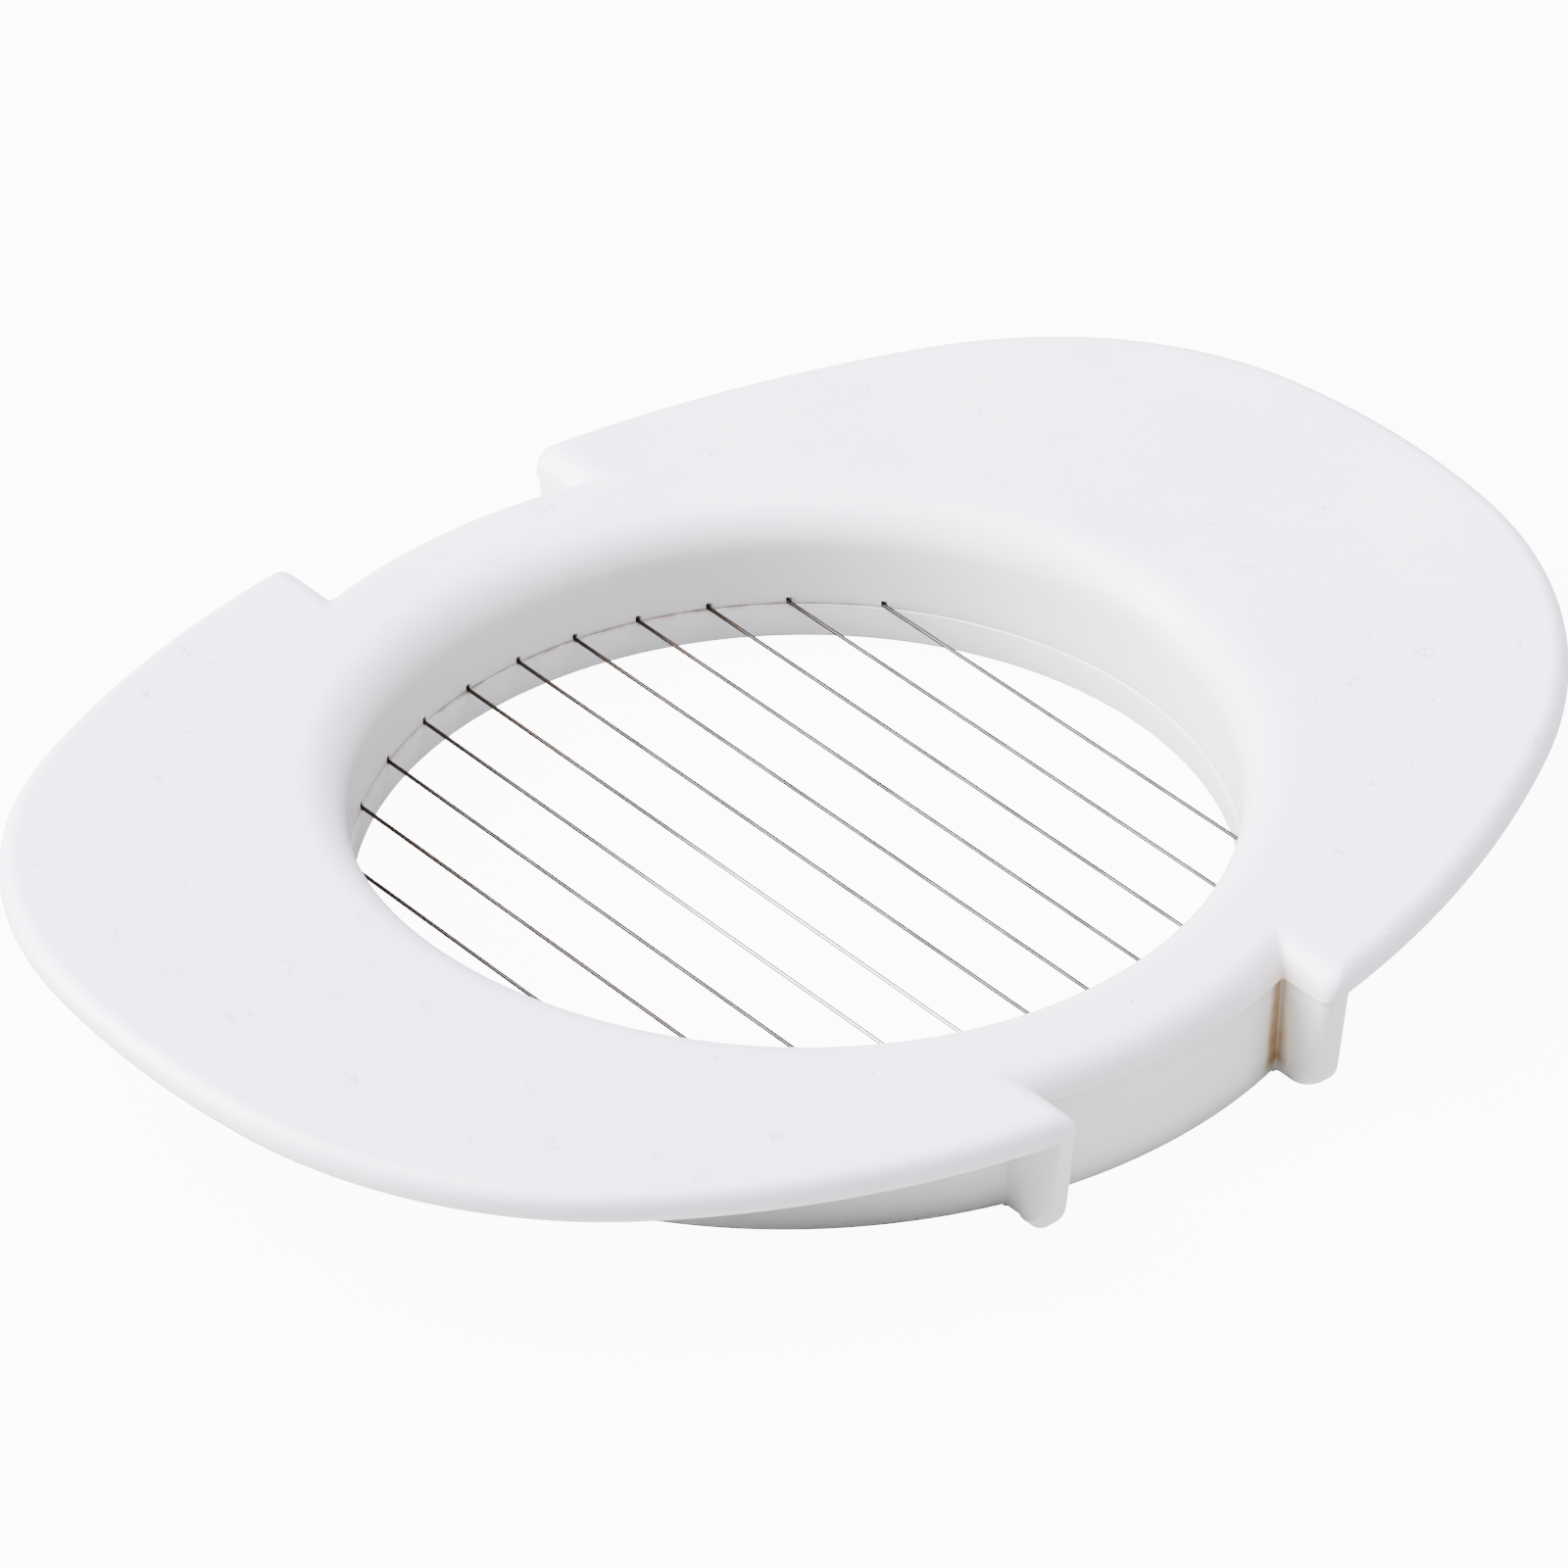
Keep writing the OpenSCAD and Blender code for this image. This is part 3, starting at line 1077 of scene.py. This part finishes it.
@dataclass(frozen=True)
class SteelWire:
    """Drawn steel wire: lengthwise die marks, a tarnish towards +Y and a painted highlight on a stretch.

    Attributes:
        name: the material's name.
        bright: colour of the bare steel.
        dull: colour in the die marks.
        painted_glint: colour of the painted highlight on the steel.
        tarnish: colour of the tarnish.
        roughness: roughness of the bare steel.
        ends: span of y over which the tarnish grows, in millimetres.
        glint_x: the x where the painted highlight is strongest, in millimetres.
        glint_reach: distances either side of it between which the painted highlight grows.
        glint_y: span of y over which the painted highlight grows.
        dark_x: span of x over which the wires get darker along their whole length.
    """

    name: str = "drawn_steel_wire"
    bright: Colour = (0.060, 0.059, 0.060, 1.0)
    dull: Colour = (0.030, 0.029, 0.029, 1.0)
    # painted highlight: a bright stretch on the middle wires
    painted_glint: Colour = (0.420, 0.420, 0.430, 1.0)
    tarnish: Colour = (0.040, 0.028, 0.019, 1.0)
    roughness: float = 0.24
    ends: Point = (8.0, 29.0)
    glint_x: float = -7.5
    glint_reach: Point = (6.0, 2.0)
    glint_y: Point = (9.0, -6.0)
    dark_x: Point = (-13.0, -22.0)

    def make(self) -> bpy.types.Material:
        """Build the material.

        Returns:
            The material.
        """
        r = Recipe(self.name)
        x, y, _ = r.axes()
        marks = r.noise(r.place(stretch=(1.0, 0.03, 1.0)), 0.12, 2.0, 0.5)
        patches = r.noise(r.place(stretch=(0.4, 0.25, 0.4)), 2.2, 2.0, 0.5)
        colour = r.blend(marks.band(0.35, 0.65), self.bright, self.dull)
        # painted highlight on a stretch of the middle wires
        glint = abs(x - self.glint_x).band(*self.glint_reach) * y.band(*self.glint_y)
        colour = r.blend(0.8 * glint, colour, self.painted_glint)
        tarnished = y.band(*self.ends) + x.band(*self.dark_x) * 0.7
        colour = r.blend(tarnished * (0.7 + 0.3 * patches.band(0.3, 0.7)), colour, self.tarnish)
        rough = self.roughness + 0.06 * marks + 0.06 * patches
        shader = r.add("ShaderNodeBsdfPrincipled", {}, {
            "Base Color": colour, "Roughness": rough, "Metallic": 1.0, "Normal": r.bump(marks, 0.05, 0.004)})
        return r.surface(shader)


@dataclass(frozen=True)
class PaleSweep:
    """Pale studio floor: bright to the camera, and glowing softly round the object's foot.

    Attributes:
        name: the material's name.
        paint: its colour.
        shown: glow that the camera sees.
        bounce: glow that lights the object from below.
        shade: half axes of the oval under the object that has no such glow, in millimetres.
    """

    name: str = "pale_floor"
    paint: Colour = (0.22, 0.22, 0.222, 1.0)
    shown: float = 11.0
    bounce: float = 1.75
    shade: Point = (59.0, 41.5)

    def make(self) -> bpy.types.Material:
        """Build the material.

        Returns:
            The material.
        """
        r = Recipe(self.name)
        seen = Signal(r, r.add("ShaderNodeLightPath").outputs["Is Camera Ray"])
        x, y, _ = r.axes()
        across, along = x * (1 / self.shade[0]), y * (1 / self.shade[1])
        outside = r.math("GREATER_THAN", across * across + along * along, 1.0)
        strength = seen * self.shown + (1.0 - seen) * outside * self.bounce
        glow = r.add("ShaderNodeEmission", {}, {"Strength": strength})
        matt = r.add("ShaderNodeBsdfDiffuse", {}, {"Color": self.paint})
        return r.surface(r.add("ShaderNodeAddShader", {}, {0: matt.outputs[0], 1: glow.outputs[0]}))


def dress(piece: bpy.types.Object, material: bpy.types.Material) -> None:
    """Give every face of a piece one material.

    Args:
        piece: the object.
        material: its material.
    """
    if piece.material_slots:
        for place in piece.material_slots:
            place.material = material
    else:
        piece.data.materials.append(material)


# ---- assembly


@dataclass
class Wires:
    """The frame's own steel wires.

    Attributes:
        names: their node names, in order of x.
    """

    names: list[str]

    def layout(self) -> Row:
        """Where the wires are.

        Returns:
            For each wire its x, the height of its axis and its half length, in millimetres.
        """
        found = []
        for name in self.names:
            low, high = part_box(name)
            thick = high.x - low.x
            found.append(((low.x + high.x) / 2 / MM, (low.z + thick / 2) / MM, (high.y - thick / 2) / MM))
        return found

    def dress(self, finish: SteelWire) -> None:
        """Give the wires their finish.

        Args:
            finish: the steel's finish.
        """
        steel = finish.make()
        for name in self.names:
            dress(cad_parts[name], steel)


@dataclass(frozen=True)
class Lamp:
    """A soft square studio lamp, turned towards the object.

    Attributes:
        name: its name.
        heading: its direction from the object, anticlockwise from +X, in degrees.
        height: its angle above the floor, in degrees.
        size: its width, in metres.
        power: its power, in watts.
        reach: its distance, in metres.
        colour: its colour.
    """

    name: str
    heading: float
    height: float
    size: float
    power: float
    reach: float = 1.0
    colour: tuple[float, float, float] = (0.93, 0.905, 1.0)

    def hang(self) -> None:
        """Add the lamp."""
        data = bpy.data.lights.new(self.name, "AREA")
        data.shape = "SQUARE"
        data.size = self.size
        data.energy = self.power
        data.color = self.colour
        across, up = polar(MIDDLE, self.reach, self.height)
        place = Vector((*polar(MIDDLE, across, self.heading), up))
        lamp = bpy.data.objects.new(self.name, data)
        lamp.location = place
        lamp.rotation_mode = "QUATERNION"
        lamp.rotation_quaternion = (-place).to_track_quat("-Z", "Y")
        bpy.context.scene.collection.objects.link(lamp)


@dataclass
class Studio:
    """Camera, lamps, surroundings and floor. Metres and degrees, with the lens and sensor in millimetres."""

    heading: float = -38.898
    elevation: float = 35.174
    roll: float = -1.148
    distance: float = 0.72760
    offset: Point = (0.000819, -0.004912)
    aim_z: float = 0.00306
    lens: float = 233.87
    sensor: float = 36.0
    floor_size: float = 6.0
    ambient: float = 0.05
    backdrop: float = 11.0
    lamps: tuple[Lamp, ...] = (
        Lamp("low_key_lamp", 135, 20, 0.6, 46.0),
        Lamp("high_key_lamp", 136, 50, 0.6, 36.0),
        Lamp("top_lamp", 10, 85, 0.8, 28.0),
        Lamp("front_lamp", 231, 58, 0.22, 2.5),
        Lamp("side_lamp", 290, 45, 0.3, 2.5),
    )

    def set_camera(self) -> None:
        """Add the camera, from its heading, elevation and roll about the aim point."""
        a, e, r = (math.radians(v) for v in (self.heading, self.elevation, self.roll))
        back = Vector((math.sin(a) * math.cos(e), -math.cos(a) * math.cos(e), math.sin(e)))
        right = Vector((math.cos(a), math.sin(a), 0))
        up = back.cross(right)
        axis_x = math.cos(r) * right + math.sin(r) * up
        axis_y = math.cos(r) * up - math.sin(r) * right
        turn = Matrix((axis_x, axis_y, back)).transposed()
        aim = Vector((0, 0, self.aim_z))
        place = aim - turn @ Vector((*self.offset, -self.distance))
        data = bpy.data.cameras.new("camera")
        data.lens, data.sensor_width = self.lens, self.sensor
        camera = bpy.data.objects.new("camera", data)
        camera.matrix_world = Matrix.Translation(place) @ turn.to_4x4()
        bpy.context.scene.collection.objects.link(camera)
        bpy.context.scene.camera = camera

    def set_world(self) -> None:
        """Make the surroundings dim to the object and pale to the camera."""
        world = bpy.data.worlds.new("studio")
        world.use_nodes = True
        nodes, links = world.node_tree.nodes, world.node_tree.links
        seen = nodes.new("ShaderNodeLightPath").outputs["Is Camera Ray"]
        strength = nodes.new("ShaderNodeMix")
        strength.inputs[2].default_value = self.ambient
        strength.inputs[3].default_value = self.backdrop
        links.new(seen, strength.inputs[0])
        links.new(strength.outputs[0], nodes["Background"].inputs["Strength"])
        nodes["Background"].inputs["Color"].default_value = grey(1.0)
        bpy.context.scene.world = world

    def lay_floor(self) -> None:
        """Add the floor under the object."""
        start_fresh()
        bpy.ops.mesh.primitive_plane_add(size=self.floor_size, location=(0, 0, 0))
        floor = bpy.context.object
        floor.name = "studio_floor"
        dress(floor, PaleSweep().make())
        floor.select_set(False)

    def build(self) -> None:
        """Set up the whole studio."""
        self.set_camera()
        self.set_world()
        self.lay_floor()
        for lamp in self.lamps:
            lamp.hang()


def main() -> None:
    """Build and dress the slicer and its studio, and note both sizes."""
    logging.basicConfig(level=logging.INFO, format="%(name)s: %(message)s")
    wires = Wires(sorted(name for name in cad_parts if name.startswith("wire_")))
    wires.dress(SteelWire())
    LOG.info("dressed %d wires", len(wires.names))

    # painted warm shade in the notches' corners, darkest at the front right one
    corner_shades = (CornerShade(10.85, -39.0, 0.9), CornerShade(-10.85, -39.0, 0.22),
              CornerShade(10.85, 39.0, 0.2), CornerShade(-10.85, 39.0, 0.2))
    body = MouldedBody().build(wires.layout())
    dress(body, WhitePlastic("body_white_plastic", corner_shades=corner_shades).make())
    ring = ClampRing().build()
    dress(ring, WhitePlastic("ring_white_plastic").make())
    for piece, node in ((body, "body"), (ring, "clamp_ring")):
        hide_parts(node)
        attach(piece, Body.ROOT.value)
        LOG.info("made %s with %d faces", piece.name, len(piece.data.polygons))
    Studio().build()


if __name__ == "__main__":
    main()
